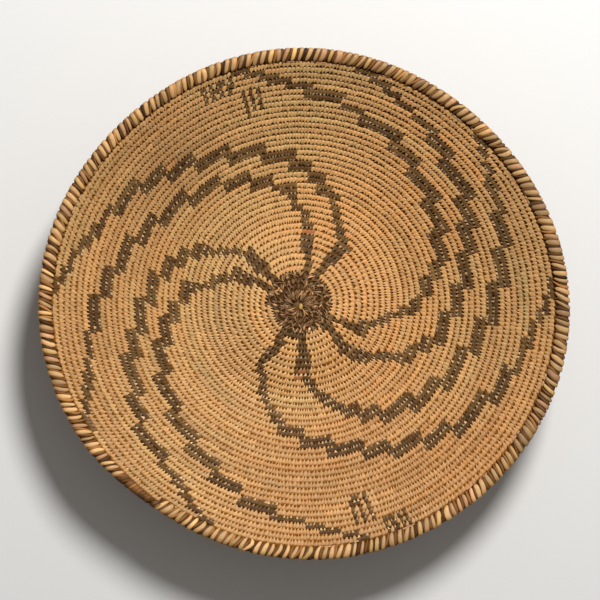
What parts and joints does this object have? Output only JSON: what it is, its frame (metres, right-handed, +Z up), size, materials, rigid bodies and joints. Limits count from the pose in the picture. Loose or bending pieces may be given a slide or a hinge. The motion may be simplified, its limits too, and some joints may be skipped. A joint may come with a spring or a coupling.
{
  "type": "coiled basket tray",
  "caption": "Shallow round coiled basket tray with a stepped whirlwind pattern and a whipped rim.",
  "frame": {"origin": "on the resting plane, under the middle of the start knot", "axes": "+Z up out of the bowl, +X and +Y to the right and to the top of the front view of the tray's inside"},
  "size_m": [0.3935, 0.3769, 0.0637],
  "materials": {
    "tan_splint": "split willow, matt to satin, worn",
    "dark_splint": "dark brown split seed pod, satin",
    "bundle_fibre": "brown grass bundle, matt",
    "rim_splint": "pale split willow, satin"
  },
  "bodies": {
    "root": {"start_knot": "dark_splint", "centre_coil": "dark_splint", "base_coil": "tan_splint", "lower_wall_coil": "tan_splint", "upper_wall_coil": "tan_splint", "rim_coil": "bundle_fibre", "rim_splint": "rim_splint", "rim_splint_dark": "dark_splint"}
  },
  "joints": []
}
